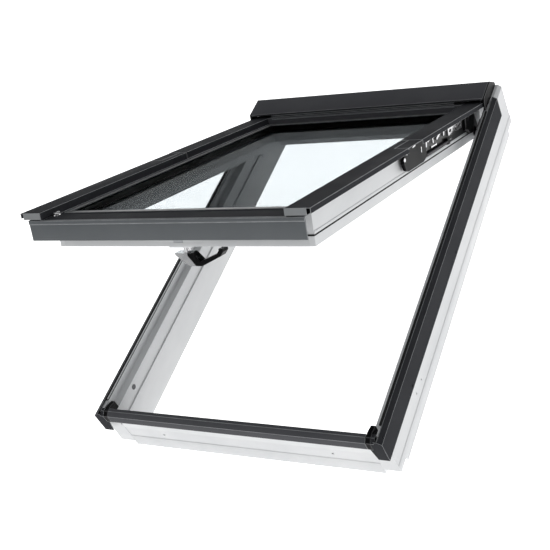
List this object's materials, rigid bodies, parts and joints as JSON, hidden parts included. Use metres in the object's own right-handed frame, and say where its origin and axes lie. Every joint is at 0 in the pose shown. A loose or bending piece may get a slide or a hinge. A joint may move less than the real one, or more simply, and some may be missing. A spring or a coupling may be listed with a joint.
{
  "type": "roof window",
  "caption": "Roof window with a glazed sash that swings out at its lower edge on side arms and turns about its middle for cleaning.",
  "frame": {"origin": "middle of the lower outer edge of the sill, on the room side of the frame", "axes": "X across the frame, +Y up the slope from sill to head, +Z out of the roof"},
  "size_m": [0.7828, 1.2005, 0.6941],
  "materials": {
    "frame_plastic": "satin",
    "cladding": "satin",
    "panel": "satin",
    "trim_plastic": "fine texture",
    "seal": "matt",
    "steel": "zinc plated",
    "bright": "polished",
    "spring": "oiled",
    "bead": "satin",
    "glass": "clear",
    "grip": "satin",
    "keep": "matt",
    "cap": "satin",
    "end_plate": "satin",
    "screw": "satin",
    "arm_paint": "satin"
  },
  "bodies": {
    "frame": {"jamb_left": "frame_plastic", "jamb_right": "frame_plastic", "head": "frame_plastic", "sill": "frame_plastic", "jamb_cladding_left": "cladding", "jamb_cladding_right": "cladding", "sill_cladding": "cladding", "jamb_seal_left": "seal", "jamb_seal_right": "seal", "hood": "cladding", "hood_ends": "trim_plastic", "corner_caps": "trim_plastic", "hinge_brackets": "steel", "top_pivot_pins": "steel", "latch_keep": "keep", "screw_caps": "cap", "guide_blocks": "keep", "cladding_screws": "screw"},
    "arms": {"arm_left": "arm_paint", "arm_right": "arm_paint", "arm_housing_left": "trim_plastic", "arm_housing_right": "trim_plastic", "arm_shrouds": "trim_plastic", "spring_anchors": "trim_plastic", "assist_springs": "spring", "spring_rods": "bright", "arm_rivets": "bright", "arm_links": "bright", "cover_brackets": "steel", "centre_pivot_pins": "steel", "pivot_covers": "cladding", "upper_cover_left": "cladding", "upper_cover_right": "cladding"},
    "mode_left": {"mode_slide_left": "steel"},
    "mode_right": {"mode_slide_right": "steel"},
    "sash": {"stile_left": "frame_plastic", "stile_right": "frame_plastic", "top_rail": "frame_plastic", "bottom_rail": "frame_plastic", "outer_pane": "glass", "inner_pane": "glass", "edge_seal": "seal", "bead_left": "bead", "bead_right": "bead", "bead_top": "bead", "bead_bottom": "bead", "lower_cover_left": "cladding", "lower_cover_right": "cladding", "cover_ends": "end_plate", "top_cover": "cladding", "front_panel": "panel", "front_plate": "cladding", "sash_seal": "seal", "glass_clips": "bright", "handle_base": "frame_plastic"},
    "handle": {"handle_lever": "bright", "handle_grip": "grip"},
    "latch": {"latch_bolt": "steel"}
  },
  "joints": [
    {"name": "top_swing", "type": "hinge", "parent": "frame", "child": "arms", "pos_m": [0, 1.046, 0.0985], "axis": [-1, 0, 0], "range_deg": [-29.35, 0]},
    {"name": "centre_turn", "type": "hinge", "parent": "arms", "child": "sash", "pos_m": [0, 0.62583, 0.41221], "axis": [-1, 0, 0], "range_deg": [0, 150]},
    {"name": "handle_turn", "type": "hinge", "parent": "sash", "child": "handle", "pos_m": [0, 0.17875, 0.55463], "axis": [0, 0.4901, 0.8716], "range_deg": [0, 90]},
    {"name": "latch_slide", "type": "slide", "parent": "sash", "child": "latch", "axis": [0, -0.8716, 0.4901], "range_m": [0, 0.014]},
    {"name": "mode_slide_left", "type": "slide", "parent": "arms", "child": "mode_left", "axis": [0, 0.8716, -0.4901], "range_m": [0, 0.012]},
    {"name": "mode_slide_right", "type": "slide", "parent": "arms", "child": "mode_right", "axis": [0, 0.8716, -0.4901], "range_m": [0, 0.012]}
  ],
  "couplings": [
    {"joint": "latch_slide", "follows": "handle_turn", "m_per_rad": 0.0089126}
  ]
}
